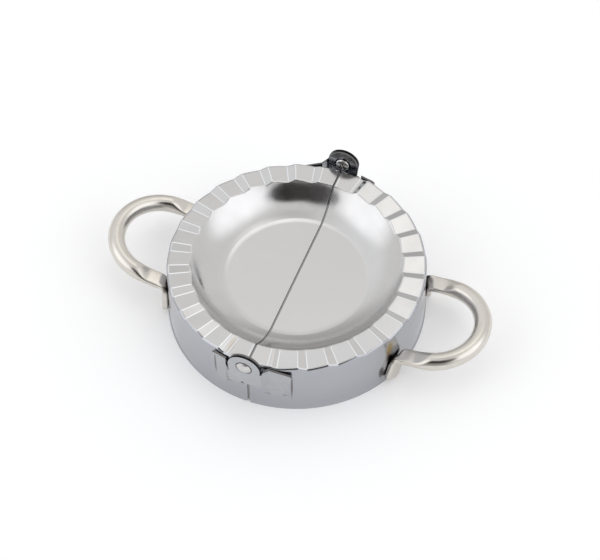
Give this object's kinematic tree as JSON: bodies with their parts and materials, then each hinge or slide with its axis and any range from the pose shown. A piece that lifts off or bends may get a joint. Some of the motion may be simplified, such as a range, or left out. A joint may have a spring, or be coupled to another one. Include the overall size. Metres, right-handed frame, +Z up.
{
  "type": "empanada press",
  "caption": "Round stainless press in hinged half shells with a dished pocket, a saw-tooth pleated rim and loop handles; one half folds over the other to cut and crimp a filled pastry.",
  "frame": {"origin": "centre of the round press on the surface it rests on, lying open", "axes": "+Z up, Y along the hinge axis and the seam, the handles along +X and -X; the right half is at +X and the front at -Y"},
  "size_m": [0.149, 0.104, 0.031],
  "materials": {
    "shell_steel": "pressed stainless sheet, satin to bright",
    "handle_steel": "bent stainless tube, smooth and bright",
    "plate_steel": "sheared stainless strap, satin",
    "rivet_steel": "bright stainless rivet"
  },
  "bodies": {
    "left_half": {"left_shell": "shell_steel", "left_handle": "handle_steel", "front_inner_hinge_plate": "plate_steel", "rear_outer_hinge_plate": "plate_steel", "front_rivet": "rivet_steel"},
    "right_half": {"right_shell": "shell_steel", "right_handle": "handle_steel", "front_outer_hinge_plate": "plate_steel", "rear_inner_hinge_plate": "plate_steel", "rear_rivet": "rivet_steel"}
  },
  "joints": [
    {"name": "fold", "type": "hinge", "parent": "left_half", "child": "right_half", "pos_m": [0, 0, 0.025], "axis": [0, -1, 0], "range_deg": [0, 183]}
  ]
}
